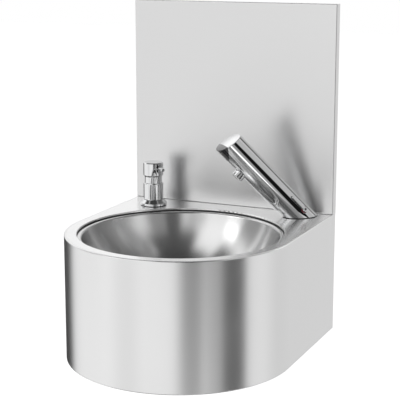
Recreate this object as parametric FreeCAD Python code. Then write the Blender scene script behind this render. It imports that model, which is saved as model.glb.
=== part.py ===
import FreeCAD, Part
import math
import os

# Wall-hung hand wash sink in stainless steel: a folded D-shaped basin with a round bowl and a tall
# backsplash, an inclined sensor mixer tap, a push soap dispenser and a grid waste.
# Millimetres. Origin on the wall plane, at deck height, in the middle. +X right, +Y into the wall, +Z up.

Vector = FreeCAD.Vector
X_AXIS = Vector(1, 0, 0)
Y_AXIS = Vector(0, 1, 0)
Z_AXIS = Vector(0, 0, 1)
ORIGIN = Vector(0, 0, 0)

# ---------------------------------------------------------------- clearances
FIT = 0.05                 # running fit, on the radius
GAP = 0.3                  # loose fit between round faces
GLUE = 0.15                # adhesive or sealant line
CUT = 5.0                  # how far a cutting tool runs past the face it cuts

# ---------------------------------------------------------------- sheet metal basin
SHEET = 1.2                # sheet thickness
WIDTH = 400.0              # backsplash width
SIDE_INSET = 0.5           # skirt side set in from the backsplash edge
BACK_DEPTH = 40.0          # straight sides between the wall and the round front, past the half width
SKIRT_HEIGHT = 220.0
SKIRT_BEND = 2.0           # outside of the bends at the top and bottom of the skirt
SKIRT_FOLD = 4.0           # top of the skirt folded in, up to the deck
SKIRT_HEM = 15.0           # hem turned in at the bottom
SPLASH_HEIGHT = 380.0
SPLASH_DEPTH = 16.0        # folded returns back to the wall
SPLASH_BEND = 2.0
SPLASH_HEM = 14.0          # hem turned in against the wall

RIM_MARGIN = 22.0          # side of the basin to the round opening in the deck
RIM_DROP = 5.0             # collar turned down from the deck
RIM_BEND = 1.8             # outside of the collar's bend
BOWL_LEDGE = 3.4           # ledge under the collar, to the centre of the dish's lip
BOWL_DEPTH = 131.0         # deck to the lowest point of the dish
BOWL_LIP = 5.0             # rounding from the ledge into the dish
BOWL_FLANGE = 8.0          # bowl flange past the collar, under the deck
RECESS_RADIUS = 38.0       # seat pressed for the waste
RECESS_DEPTH = 3.5
PAD_INNER = 62.0           # sound-deadening pad under the dish
PAD_OUTER = 112.0
PAD_THICK = 4.0

# ---------------------------------------------------------------- wall fixing
PLATE = 2.5                # mounting plate at the wall
TONGUE_MARGIN = 20.0       # tongue of the plate in from the sides
TONGUE_HEIGHT = 40.0
BOLT_RADIUS = 4.5
BOLT_MARGIN = 50.0         # wall holes in from the sides
BOLT_TOP = -60.0           # upper pair of wall holes
BOLT_UP = 40.0             # lower pair above the bottom of the skirt
SERVICE_WIDTH = 220.0      # cut-out for the drain and the supplies
SERVICE_TOP = -60.0
SERVICE_UP = 20.0          # cut-out above the bottom of the skirt
SERVICE_CORNER = 15.0
RAIL = 2.0                 # hanger rail thickness
RAIL_MARGIN = 40.0         # rails in from the sides
RAIL_BOTTOM = 280.0
RAIL_HEIGHT = 50.0
RAIL_LIP = 12.0
RAIL_STAND = 7.0           # front of the hook, from the wall
RAIL_HOLE_RADIUS = 4.0
RAIL_HOLE_MARGIN = 70.0    # rail holes in from the sides
RAIL_HOLE_UP = 20.0        # holes above the bottom of the wall rail

# ---------------------------------------------------------------- waste
DRAIN_FLANGE_RADIUS = 36.0
DRAIN_FLANGE = 2.0
DRAIN_GASKET = 1.0
DRAIN_THREAD_RADIUS = 20.95    # G 1 1/4 outside thread
DRAIN_BORE = 17.5
DRAIN_LENGTH = 62.0            # thread below the dish
DRAIN_RELIEF = 0.8             # groove between the nut's thread and the trap's
DRAIN_RELIEF_WIDTH = 2.0
DRAIN_TRAP_THREAD = 42.0
DRAIN_HOLE_GAP = 1.5           # hole in the dish around the thread
GRID_RADIUS = 26.8
GRID_THICK = 1.5
GRID_HOLE = 2.2
GRID_PITCH = 7.4               # between the rings of holes
GRID_RINGS = 2
WEB = 3.0                      # cross bar in the waste
WEB_HEIGHT = 8.0
WEB_DROP = 16.0
WEB_BITE = 1.0                 # cross bar into the wall of the bore
WASTE_SCREW = 2.0
SCREW_SLOT = 0.8
GASKET_INSET = 0.5
DRAIN_SEAL = 4.0
DRAIN_SEAL_INSET = 2.0
DRAIN_NUT_FLATS = 56.0
DRAIN_NUT_HEIGHT = 9.0

# ---------------------------------------------------------------- tap
TAP_SIDE = 51.5            # tap axis in from the right side
TAP_Y = -46.0
TAP_YAW = 225.0            # plan direction of the barrel, towards the bowl
TAP_RISE = 45.6            # barrel above the deck
BARREL_RADIUS = 23.5
BARREL_LENGTH = 196.0      # deck point of the axis to the cap joint
BELLY_RADIUS = 21.0        # water channel swelling along the underside
BELLY_DROP = 4.5
BELLY_START = 62.0
BELLY_END_RADIUS = 18.5
TAP_SEAL = 1.2
TAP_SEAL_INSET = 0.8
BORE_RADIUS = 17.0
BORE_SHIFT = 2.5           # bore axis above the barrel axis
BORE_START = 34.0
CAP_LIP = 1.2              # end face past the joint, at the upper side
CAP_NOSE = 11.0            # end face past the joint, at the underside
CAP_DOME = 2.0             # bulge of the end face
CAP_EDGE = 0.8             # rounding round the end face
CAP_SPIGOT_WALL = 3.0
CAP_SPIGOT_LENGTH = 10.0
WINDOW_LENGTH = 20.0       # from the joint back to where the window runs out on the underside
WINDOW_PAST = 1.0
WINDOW_FRONT_UP = 9.0      # its upper edge at the front, from the axis
WINDOW_GAP = 0.1
GRUB_RADIUS = 1.5
GRUB_LENGTH = 6.0
GRUB_BACK = 7.0            # screw behind the joint
GRUB_ANGLE = 52.0
AERATOR_BACK = 51.0        # outlet behind the joint
AERATOR_RADIUS = 11.0
AERATOR_LENGTH = 9.0
AERATOR_THREAD = 9.8
AERATOR_THREAD_DEPTH = 8.0
AERATOR_BORE = 8.0
AERATOR_SEAL = 1.0
AERATOR_SEAL_WIDTH = 2.5
KNURLS = 24
KNURL_RADIUS = 0.7
PASSAGE_RADIUS = 3.0
PASSAGE_OFFSET = 18.5

LEVER_S = 14.0
LEVER_ANGLE = 24.0         # up from the side of the barrel
LEVER_LENGTH = 36.0
LEVER_WIDTH = 7.0
LEVER_TIP_WIDTH = 5.5
LEVER_THICK = 3.0
LEVER_EDGE = 1.0           # rounding of its upper edges
LEVER_LIFT = 0.6           # underside of the arm above the barrel
LEVER_HUB = 4.8
LEVER_SOCKET = 2.2
LEVER_SCREW = 2.2
MARK_RADIUS = 6.6
MARK_THICK = 0.4
CARTRIDGE_RADIUS = 6.5
CARTRIDGE_INNER = 2.0
CARTRIDGE_OUTER = 20.0

VALVE_BASE = 30.0
VALVE_COIL = 24.0
VALVE_COIL_RADIUS = 13.0
PLUNGER_RADIUS = 4.0
PLUNGER_LENGTH = 18.0
PLUNGER_FOOT = 6.0         # above the base of the valve
VALVE_SPRING_LENGTH = 14.0
BATTERY_RADIUS = 8.5
BATTERY_LENGTH = 34.5
HOLDER_WALL = 2.0
SENSOR_LENGTH = 25.0
SENSOR_NOSE = 9.5

SHANK_RADIUS = 16.5
SHANK_WALL = 3.5
SHANK_SOCKET = 3.0
SHANK_LENGTH = 42.0        # below the deck
TAP_HOLE = 17.5
TAP_NUT_FLATS = 41.0
TAP_NUT_HEIGHT = 8.0
CLAMP_RADIUS = 27.0
CLAMP_THICK = 3.0
STIFFENER_WIDTH = 76.0
STIFFENER = 2.0
TAIL_RADIUS = 5.0
TAIL_WALL = 0.8
TAIL_OFFSET = 7.0
TAIL_NECK_RADIUS = 4.6     # where the tails pass the shank
TAIL_END = 30.0            # full-size end for the stop valves
TAIL_LENGTH = 78.0         # below the deck

# ---------------------------------------------------------------- soap dispenser
SOAP_SIDE = 63.0           # pump axis in from the left side
SOAP_Y = -70.0
FLANGE_RADIUS = 25.0
FLANGE_LIP = 4.5
FLANGE_HEIGHT = 10.0
FLANGE_EDGE = 1.0          # rounding of the flange's lip
SLEEVE_RADIUS = 18.5
SLEEVE_WALL = 2.2
SLEEVE_HEIGHT = 32.0
SLEEVE_EDGE = 1.6
NECK_RADIUS = 16.0
NECK_WALL = 2.0
NECK_SHOWN = 12.0
NECK_HIDDEN = 16.0
HEAD_RADIUS = 18.5
HEAD_HEIGHT = 27.0
HEAD_TAPER = 3.0
HEAD_BEVEL = 1.4
SOAP_SEAL = 0.8
SPOUT_YAW = -31.0          # plan direction of the spout
SPOUT_RADIUS = 2.4
SPOUT_BORE = 1.2
SPOUT_REACH = 33.0
SPOUT_ROOT_Z = 79.5
SPOUT_TIP_Z = 71.0
NOZZLE_RADIUS = 3.4
NOZZLE_LENGTH = 7.0
STEM_RADIUS = 3.5
STEM_BORE = 1.5
STEM_TOP = 68.0
PUMP_TUBE_RADIUS = 7.5
PUMP_TUBE_WALL = 1.2
PUMP_TUBE_BOTTOM = -36.0
PUMP_COLLAR = 2.0          # rim of the pump tube on the shank
DIP_SOCKET = 8.0           # hold of the dip tube
PISTON_HEIGHT = 6.0
PISTON_TOP = 8.0
PUMP_SPRING_RADIUS = 4.6
PUMP_SPRING_WIRE = 0.45
PUMP_SPRING_TURNS = 7
BALL_RADIUS = 2.5
BALL_CAGE = 8.0
SOAP_SHANK_RADIUS = 12.5
SOAP_SHANK_BOTTOM = -34.0
SOAP_SHANK_PROUD = 4.0     # shank up into the sleeve
SOAP_HOLE = 13.0
SOAP_NUT_FLATS = 32.0
SOAP_NUT_HEIGHT = 6.0
SOAP_WASHER_RADIUS = 20.0
SOAP_WASHER = 1.5
DIP_RADIUS = 3.0
DIP_WALL = 0.8
DIP_FOOT = 10.0            # end of the dip tube above the bottom of the bottle
BOTTLE_RADIUS = 32.0
BOTTLE_WALL = 1.5
BOTTLE_TOP = -38.0
BOTTLE_UP = 38.0           # bottle above the bottom of the skirt
BOTTLE_NECK = 14.5
BOTTLE_NECK_TOP = -18.0
BOTTLE_ROUND = 6.0

# ---------------------------------------------------------------- nuts
NUT_WIDE = 1.16            # chamfer cone at the foot of a nut, against its flats
NUT_NARROW = 0.96
NUT_CONE = 1.5             # height of the cone, against the nut's

# ================================================================ places that follow from the sizes
FRONT_CENTRE = WIDTH / 2 + BACK_DEPTH
RIM_RADIUS = WIDTH / 2 - RIM_MARGIN
TAP_X = WIDTH / 2 - TAP_SIDE
SOAP_X = SOAP_SIDE - WIDTH / 2
BOTTLE_BOTTOM = BOTTLE_UP - SKIRT_HEIGHT
DIP_BOTTOM = BOTTLE_BOTTOM + DIP_FOOT
SERVICE_BOTTOM = SERVICE_UP - SKIRT_HEIGHT
BOLT_BOTTOM = BOLT_UP - SKIRT_HEIGHT
CAP_TOP = BARREL_LENGTH + CAP_LIP
CAP_BOTTOM = BARREL_LENGTH + CAP_NOSE
WINDOW_BACK = BARREL_LENGTH - WINDOW_LENGTH
GRUB_S = BARREL_LENGTH - GRUB_BACK
AERATOR_S = BARREL_LENGTH - AERATOR_BACK


# ================================================================ helpers
def cylinder(radius, bottom, top, centre=(0.0, 0.0)):
    return Part.makeCylinder(radius, top - bottom, Vector(centre[0], centre[1], bottom))


def tube(outer, inner, bottom, top, centre=(0.0, 0.0)):
    bore = cylinder(inner, bottom - CUT, top + CUT, centre)
    return cylinder(outer, bottom, top, centre).cut(bore)


def box(x0, x1, y0, y1, z0, z1):
    return Part.makeBox(x1 - x0, y1 - y0, z1 - z0, Vector(x0, y0, z0))


def hexagon(flats, bottom, top, centre=(0.0, 0.0)):
    reach = flats / math.sqrt(3)
    corners = []
    for step in range(7):
        angle = math.radians(60 * step)
        corners.append(Vector(centre[0] + reach * math.cos(angle),
                              centre[1] + reach * math.sin(angle), bottom))
    return Part.Face(Part.makePolygon(corners)).extrude(Vector(0, 0, top - bottom))


def nut(flats, bore, bottom, top, centre=(0.0, 0.0)):
    body = hexagon(flats, bottom, top, centre).cut(cylinder(bore, bottom - CUT, top + CUT, centre))
    round_blank = Part.makeCone(flats / 2 * NUT_WIDE, flats / 2 * NUT_NARROW, (top - bottom) * NUT_CONE,
                                Vector(centre[0], centre[1], bottom))
    return body.common(round_blank)


def lathe(start, steps, centre=(0.0, 0.0)):
    """Solid of revolution about a vertical axis. A step is an end point, or a middle and an end of an arc."""
    edges = []
    here = Vector(start[0], 0, start[1])
    first = here
    for step in steps:
        if isinstance(step[0], tuple):
            middle = Vector(step[0][0], 0, step[0][1])
            there = Vector(step[1][0], 0, step[1][1])
            edges.append(Part.Arc(here, middle, there).toShape())
        else:
            there = Vector(step[0], 0, step[1])
            edges.append(Part.LineSegment(here, there).toShape())
        here = there
    edges.append(Part.LineSegment(here, first).toShape())
    solid = Part.Face(Part.Wire(edges)).revolve(ORIGIN, Z_AXIS, 360)
    solid.translate(Vector(centre[0], centre[1], 0))
    return Part.Solid(solid)


def spring(radius, wire, bottom, top, turns, centre=(0.0, 0.0)):
    """Compression spring whose end turns stop half a wire inside the given height."""
    height = top - bottom - 2 * wire
    path = Part.makeHelix(height / turns, height, radius)
    section = Part.Wire(Part.makeCircle(wire, Vector(radius, 0, 0), Y_AXIS))
    coil = Part.Wire(path.Edges).makePipeShell([section], True, True)
    coil.translate(Vector(centre[0], centre[1], bottom + wire))
    return Part.Solid(coil.Shells[0]) if coil.ShapeType != "Solid" else coil


def fuse(first, *others):
    return first.fuse(list(others)).removeSplitter()


def round_edges(shape, radius, wanted):
    return shape.makeFillet(radius, [edge for edge in shape.Edges if wanted(edge)])


def flat_at(edge, level):
    bounds = edge.BoundBox
    return abs(bounds.ZMin - level) < 1e-4 and abs(bounds.ZMax - level) < 1e-4


nodes = {}


def keep(name, shape):
    """Checks a piece and writes it down under its name."""
    solids = shape.Solids
    assert solids and all(solid.isValid() and solid.Volume > 0 for solid in solids), name
    nodes[name] = solids[0] if len(solids) == 1 else Part.makeCompound(solids)


# ================================================================ basin
SKIRT_RADIUS = WIDTH / 2 - SIDE_INSET
SKIRT_INNER = SKIRT_RADIUS - SHEET
DECK_RADIUS = SKIRT_RADIUS - SKIRT_FOLD
ARC_REACH = math.sqrt(0.5)         # middle of a quarter circle, against its radius
ARC_DIP = 1 - ARC_REACH            # the same point, in from the corner's sides
BOWL_AXIS = (0.0, -FRONT_CENTRE)
TAP_AXIS = (TAP_X, TAP_Y)
SOAP_AXIS = (SOAP_X, SOAP_Y)


def d_shape(radius, rear, bottom, top):
    """The basin's plan: straight sides from the wall, closed by a half circle at the front."""
    left_rear = Vector(-radius, rear, bottom)
    left = Vector(-radius, -FRONT_CENTRE, bottom)
    front = Vector(0, -FRONT_CENTRE - radius, bottom)
    right = Vector(radius, -FRONT_CENTRE, bottom)
    right_rear = Vector(radius, rear, bottom)
    outline = Part.Wire([
        Part.LineSegment(left_rear, left).toShape(),
        Part.Arc(left, front, right).toShape(),
        Part.LineSegment(right, right_rear).toShape(),
        Part.LineSegment(right_rear, left_rear).toShape(),
    ])
    return Part.Face(outline).extrude(Vector(0, 0, top - bottom))


def make_skirt():
    wall = d_shape(SKIRT_RADIUS, 0, -SKIRT_HEIGHT, 0)
    wall = wall.cut(d_shape(SKIRT_INNER, CUT, -SKIRT_HEIGHT + SHEET, -SHEET))
    wall = wall.cut(d_shape(DECK_RADIUS, CUT, -SHEET - CUT, CUT))
    wall = wall.cut(d_shape(SKIRT_RADIUS - SKIRT_HEM, CUT, -SKIRT_HEIGHT - CUT, 0))

    def along(level, radius):
        def wanted(edge):
            bounds = edge.BoundBox
            side = max(abs(bounds.XMin), abs(bounds.XMax))
            return flat_at(edge, level) and bounds.YLength > SKIRT_HEM and abs(side - radius) < SHEET / 2
        return wanted

    for level in (0, -SKIRT_HEIGHT):
        wall = round_edges(wall, SKIRT_BEND, along(level, SKIRT_RADIUS))
    for level in (-SHEET, -SKIRT_HEIGHT + SHEET):
        wall = round_edges(wall, SKIRT_BEND - SHEET, along(level, SKIRT_INNER))
    return wall


def make_deck():
    bend_out = RIM_RADIUS + RIM_BEND
    inner_bend = RIM_BEND - SHEET
    sheet = d_shape(DECK_RADIUS, -PLATE, -SHEET, 0).cut(cylinder(bend_out, -CUT, CUT, BOWL_AXIS))
    collar = lathe((bend_out, 0), [
        ((bend_out - RIM_BEND * ARC_REACH, RIM_BEND * ARC_REACH - RIM_BEND), (RIM_RADIUS, -RIM_BEND)),
        (RIM_RADIUS, -RIM_DROP),
        (RIM_RADIUS + SHEET, -RIM_DROP),
        (RIM_RADIUS + SHEET, -RIM_BEND),
        ((bend_out - inner_bend * ARC_REACH, inner_bend * ARC_REACH - RIM_BEND), (bend_out, -SHEET)),
    ], BOWL_AXIS)
    sheet = fuse(sheet, collar)
    sheet = sheet.cut(cylinder(TAP_HOLE, -CUT, CUT, TAP_AXIS))
    return sheet.cut(cylinder(SOAP_HOLE, -CUT, CUT, SOAP_AXIS))


def is_circle(edge, radius):
    return isinstance(edge.Curve, Part.Circle) and abs(edge.Curve.Radius - radius) < 1e-4


# the dish: a spherical cap that meets a rounded lip and reaches its depth, heights from the deck
LIP_Z = -RIM_DROP - BOWL_LIP
LIP_X = RIM_RADIUS - BOWL_LEDGE
DISH_DROP = BOWL_DEPTH + LIP_Z     # centre of the lip to the lowest point
BOWL_SPHERE = (LIP_X ** 2 + DISH_DROP ** 2 - BOWL_LIP ** 2) / (2 * (DISH_DROP + BOWL_LIP))
SPHERE_Z = BOWL_SPHERE - BOWL_DEPTH
RECESS_RIM_Z = SPHERE_Z - math.sqrt(BOWL_SPHERE ** 2 - RECESS_RADIUS ** 2)
RECESS_Z = RECESS_RIM_Z - RECESS_DEPTH
DRAIN_HOLE = DRAIN_THREAD_RADIUS + DRAIN_HOLE_GAP


def on_sphere(radius, across):
    """A point of a sphere about the dish's centre, below it, at a distance from the axis."""
    return (across, SPHERE_Z - math.sqrt(radius ** 2 - across ** 2))


def dish_side(sphere, lip, flange_z):
    """Lip arc and sphere arc of one face of the dish, from the flange inwards."""
    share = sphere / (sphere + lip)
    touch = (LIP_X * share, SPHERE_Z + (LIP_Z - SPHERE_Z) * share)
    turn = math.atan2(touch[1] - LIP_Z, touch[0] - LIP_X)
    middle_turn = (math.pi / 2 + turn) / 2
    middle = (LIP_X + lip * math.cos(middle_turn), LIP_Z + lip * math.sin(middle_turn))
    return (LIP_X, flange_z), middle, touch


def make_bowl():
    flange_radius = RIM_RADIUS + BOWL_FLANGE
    top_start, top_middle, top_touch = dish_side(BOWL_SPHERE, BOWL_LIP, -RIM_DROP)
    low_start, low_middle, low_touch = dish_side(BOWL_SPHERE + SHEET, BOWL_LIP - SHEET, -RIM_DROP - SHEET)
    recess = on_sphere(BOWL_SPHERE, RECESS_RADIUS)
    under = on_sphere(BOWL_SPHERE + SHEET, RECESS_RADIUS + SHEET)
    half_way = (top_touch[0] + RECESS_RADIUS) / 2
    return lathe((flange_radius, -RIM_DROP), [
        top_start,
        (top_middle, top_touch),
        (on_sphere(BOWL_SPHERE, half_way), recess),
        (RECESS_RADIUS, RECESS_Z),
        (DRAIN_HOLE, RECESS_Z),
        (DRAIN_HOLE, RECESS_Z - SHEET),
        (RECESS_RADIUS + SHEET, RECESS_Z - SHEET),
        under,
        (on_sphere(BOWL_SPHERE + SHEET, half_way), low_touch),
        (low_middle, low_start),
        (flange_radius, -RIM_DROP - SHEET),
    ], BOWL_AXIS)


def make_pad():
    inner = BOWL_SPHERE + SHEET + GLUE
    outer = inner + PAD_THICK
    half_way = (PAD_INNER + PAD_OUTER) / 2
    return lathe(on_sphere(inner, PAD_INNER), [
        (on_sphere(inner, half_way), on_sphere(inner, PAD_OUTER)),
        on_sphere(outer, PAD_OUTER),
        (on_sphere(outer, half_way), on_sphere(outer, PAD_INNER)),
    ], BOWL_AXIS)


def make_backsplash():
    half = WIDTH / 2
    shell = box(-half, half, -SPLASH_DEPTH, 0, 0, SPLASH_HEIGHT)
    shell = round_edges(shell, SPLASH_BEND, lambda edge: edge.BoundBox.YMax < -SPLASH_DEPTH + 1e-4)
    inside = half - SHEET
    shell = shell.cut(box(-inside, inside, -SPLASH_DEPTH + SHEET, CUT, SHEET, SPLASH_HEIGHT - SHEET))
    shell = shell.cut(box(-inside, inside, -PLATE, CUT, -CUT, SHEET + CUT))
    hem = box(-inside, inside, -SHEET, 0, SHEET + CUT, SPLASH_HEIGHT - SHEET)
    hem = hem.cut(box(-inside + SPLASH_HEM, inside - SPLASH_HEM, -CUT, CUT, -CUT,
                      SPLASH_HEIGHT - SHEET - SPLASH_HEM))
    return fuse(shell, hem)


def make_mounting_plate():
    bottom = -SKIRT_HEIGHT + SHEET
    half_width = SKIRT_INNER - (SKIRT_BEND - SHEET)    # clear of the skirt's bends
    plate = box(-half_width, half_width, -PLATE, 0, bottom, -SHEET)
    half_tongue = WIDTH / 2 - TONGUE_MARGIN
    plate = fuse(plate, box(-half_tongue, half_tongue, -PLATE, 0, -SHEET, TONGUE_HEIGHT))
    half_service = SERVICE_WIDTH / 2
    window = box(-half_service, half_service, -PLATE - CUT, CUT, SERVICE_BOTTOM, SERVICE_TOP)
    window = round_edges(window, SERVICE_CORNER, lambda edge: edge.BoundBox.YLength > PLATE)
    plate = plate.cut(window)
    for side in (-1, 1):
        for level in (BOLT_TOP, BOLT_BOTTOM):
            start = Vector(side * (WIDTH / 2 - BOLT_MARGIN), -PLATE - CUT, level)
            plate = plate.cut(Part.makeCylinder(BOLT_RADIUS, PLATE + 2 * CUT, start, Y_AXIS))
    return plate


def make_wall_rail():
    half = WIDTH / 2 - RAIL_MARGIN
    top = RAIL_BOTTOM + RAIL_HEIGHT
    rail = box(-half, half, -RAIL, 0, RAIL_BOTTOM, top)
    step = box(-half, half, -RAIL_STAND, -RAIL, top - RAIL, top)
    lip = box(-half, half, -RAIL_STAND, -RAIL_STAND + RAIL, top, top + RAIL_LIP)
    rail = fuse(rail, step, lip)
    for side in (-1, 1):
        start = Vector(side * (WIDTH / 2 - RAIL_HOLE_MARGIN), -RAIL - CUT, RAIL_BOTTOM + RAIL_HOLE_UP)
        rail = rail.cut(Part.makeCylinder(RAIL_HOLE_RADIUS, RAIL + 2 * CUT, start, Y_AXIS))
    return rail


def make_splash_rail():
    half = WIDTH / 2 - RAIL_MARGIN
    back = -SPLASH_DEPTH + SHEET
    rest = RAIL_BOTTOM + RAIL_HEIGHT + RAIL_LIP
    hook_front = -RAIL_STAND + RAIL + GAP
    web = box(-half, half, back, back + RAIL, rest - RAIL_HEIGHT / 2, rest + RAIL)
    leg = box(-half, half, back + RAIL, hook_front + RAIL, rest, rest + RAIL)
    lip = box(-half, half, hook_front, hook_front + RAIL, rest - RAIL_LIP + RAIL, rest)
    return fuse(web, leg, lip)


# ================================================================ waste
def make_waste():
    gasket_top = RECESS_Z + DRAIN_GASKET
    flange_top = gasket_top + DRAIN_FLANGE
    tail_bottom = RECESS_Z - SHEET - DRAIN_LENGTH
    trap_end = tail_bottom + DRAIN_TRAP_THREAD
    seat = flange_top - GRID_THICK
    body = lathe((DRAIN_BORE, tail_bottom), [
        (DRAIN_THREAD_RADIUS, tail_bottom),
        (DRAIN_THREAD_RADIUS, trap_end),
        (DRAIN_THREAD_RADIUS - DRAIN_RELIEF, trap_end),
        (DRAIN_THREAD_RADIUS - DRAIN_RELIEF, trap_end + DRAIN_RELIEF_WIDTH),
        (DRAIN_THREAD_RADIUS, trap_end + DRAIN_RELIEF_WIDTH),
        (DRAIN_THREAD_RADIUS, gasket_top),
        (DRAIN_FLANGE_RADIUS, gasket_top),
        (DRAIN_FLANGE_RADIUS, flange_top - DRAIN_FLANGE / 2),
        (DRAIN_FLANGE_RADIUS - DRAIN_FLANGE / 2, flange_top),
        (GRID_RADIUS + GAP, flange_top),
        (GRID_RADIUS + GAP, seat),
        (DRAIN_BORE, seat),
    ], BOWL_AXIS)
    web_top = flange_top - WEB_DROP
    reach = DRAIN_BORE + WEB_BITE
    bar = box(-reach, reach, -FRONT_CENTRE - WEB / 2, -FRONT_CENTRE + WEB / 2,
              web_top - WEB_HEIGHT, web_top)
    boss = cylinder(WASTE_SCREW * 2, web_top - WEB_HEIGHT, web_top, BOWL_AXIS)
    body = fuse(body, bar, boss).cut(cylinder(WASTE_SCREW + FIT, web_top - 2 * WEB_HEIGHT, 0, BOWL_AXIS))
    keep("waste_body", body)

    grid = cylinder(GRID_RADIUS, seat, flange_top, BOWL_AXIS)
    grid = round_edges(grid, GRID_THICK / 3, lambda edge: flat_at(edge, flange_top))
    for ring in range(1, GRID_RINGS + 1):
        for step in range(6 * ring):
            angle = math.pi * step / (3 * ring)
            away = GRID_PITCH * ring
            centre = (away * math.cos(angle), -FRONT_CENTRE + away * math.sin(angle))
            grid = grid.cut(cylinder(GRID_HOLE, seat - CUT, flange_top + CUT, centre))
    keep("waste_grid", grid.cut(cylinder(WASTE_SCREW + FIT, seat - CUT, flange_top + CUT, BOWL_AXIS)))

    head = cylinder(WASTE_SCREW * 2, flange_top, flange_top + WASTE_SCREW, BOWL_AXIS)
    head = round_edges(head, WASTE_SCREW * 0.6, lambda edge: flat_at(edge, flange_top + WASTE_SCREW))
    thread = cylinder(WASTE_SCREW, web_top - WEB_HEIGHT, flange_top, BOWL_AXIS)
    drive = box(-WASTE_SCREW * 2, WASTE_SCREW * 2, -FRONT_CENTRE - SCREW_SLOT / 2,
                -FRONT_CENTRE + SCREW_SLOT / 2, flange_top + WASTE_SCREW * 0.6, flange_top + CUT)
    keep("waste_screw", fuse(head, thread).cut(drive))

    keep("waste_top_gasket", tube(DRAIN_FLANGE_RADIUS - GASKET_INSET, DRAIN_THREAD_RADIUS + GAP,
                                  RECESS_Z, gasket_top, BOWL_AXIS))
    seal_top = RECESS_Z - SHEET
    seal_bottom = seal_top - DRAIN_SEAL
    keep("waste_bottom_gasket", tube(DRAIN_FLANGE_RADIUS - DRAIN_SEAL_INSET,
                                     DRAIN_THREAD_RADIUS + GAP, seal_bottom, seal_top, BOWL_AXIS))
    keep("waste_backnut", nut(DRAIN_NUT_FLATS, DRAIN_THREAD_RADIUS + FIT, seal_bottom - DRAIN_NUT_HEIGHT,
                              seal_bottom, BOWL_AXIS))


# ================================================================ tap
RISE = math.radians(TAP_RISE)
YAW = math.radians(TAP_YAW)
ALONG = Vector(math.cos(YAW) * math.cos(RISE), math.sin(YAW) * math.cos(RISE), math.sin(RISE))
ACROSS = Vector(-math.sin(YAW), math.cos(YAW), 0)
UNDER = ACROSS.cross(ALONG)    # square to the barrel, towards its underside
TAP_PLACE = FreeCAD.Placement(FreeCAD.Matrix(
    UNDER.x, ACROSS.x, ALONG.x, TAP_X,
    UNDER.y, ACROSS.y, ALONG.y, TAP_Y,
    UNDER.z, ACROSS.z, ALONG.z, 0,
    0, 0, 0, 1))
BORE_AXIS = (-BORE_SHIFT, 0.0)
INSERT_RADIUS = BORE_RADIUS - GAP
BELLY_BOTTOM = BELLY_RADIUS + BELLY_DROP


def placed(shape, place):
    moved = shape.copy()
    moved.transformShape(place.toMatrix())
    return moved


def on_tap(shape):
    """From the barrel's own frame (X to the underside, Z up the barrel) to the sink's."""
    return placed(shape, TAP_PLACE)


def belly(start, end):
    return cylinder(BELLY_RADIUS, start, end, (BELLY_DROP, 0.0))


def end_face():
    """The ball whose skin is the domed, slanted end of the cap."""
    upper = Vector(-BARREL_RADIUS, 0, CAP_TOP)
    lower = Vector(BELLY_BOTTOM, 0, CAP_BOTTOM)
    chord = lower - upper
    half = chord.Length / 2
    ball = (half ** 2 + CAP_DOME ** 2) / (2 * CAP_DOME)
    outward = Vector(-chord.z, 0, chord.x).normalize()
    centre = (upper + lower) * 0.5 + outward * (CAP_DOME - ball)
    return Part.makeSphere(ball, centre)


def window_wedge(gap=0.0):
    """Space of the sensor window: everything below a line from the front down to the underside."""
    front = Vector(WINDOW_FRONT_UP - gap, -BARREL_RADIUS * 2, CAP_BOTTOM + CAP_DOME)
    back = Vector(BELLY_BOTTOM + WINDOW_PAST - gap, -BARREL_RADIUS * 2, WINDOW_BACK - gap)
    far_back = Vector(BARREL_RADIUS * 2, -BARREL_RADIUS * 2, WINDOW_BACK - gap)
    far_front = Vector(BARREL_RADIUS * 2, -BARREL_RADIUS * 2, CAP_BOTTOM + CAP_DOME)
    return Part.Face(Part.makePolygon([front, back, far_back, far_front, front])).extrude(
        Y_AXIS * (BARREL_RADIUS * 4))


def nose():
    """The whole end of the barrel from the back of the window to the domed face."""
    end = CAP_BOTTOM + 2 * CAP_DOME
    bar = fuse(cylinder(BARREL_RADIUS, WINDOW_BACK - CUT, end), belly(WINDOW_BACK - CUT, end))
    bar = bar.common(end_face())
    return round_edges(bar, CAP_EDGE, lambda edge: edge.BoundBox.ZMin > BARREL_LENGTH)


GRUB_TURN = math.radians(GRUB_ANGLE)
GRUB_DIRECTION = Vector(math.sin(GRUB_TURN), math.cos(GRUB_TURN), 0)
LEVER_TURN = math.radians(LEVER_ANGLE)
LEVER_OUT = Vector(-math.sin(LEVER_TURN), math.cos(LEVER_TURN), 0)
SPIGOT_INNER = INSERT_RADIUS - CAP_SPIGOT_WALL
SPIGOT_START = BARREL_LENGTH - CAP_SPIGOT_LENGTH


def lever_place():
    """Lever frame: origin on the barrel's axis, Z outwards along the spindle, X up the barrel."""
    side = LEVER_OUT.cross(Z_AXIS)
    matrix = FreeCAD.Matrix(
        0, side.x, LEVER_OUT.x, 0,
        0, side.y, LEVER_OUT.y, 0,
        1, side.z, LEVER_OUT.z, LEVER_S,
        0, 0, 0, 1)
    return TAP_PLACE.multiply(FreeCAD.Placement(matrix))


def above_deck(shape, level):
    reach = BARREL_LENGTH * 2
    return shape.cut(box(-reach, reach, -reach, reach, -reach, level))


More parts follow.
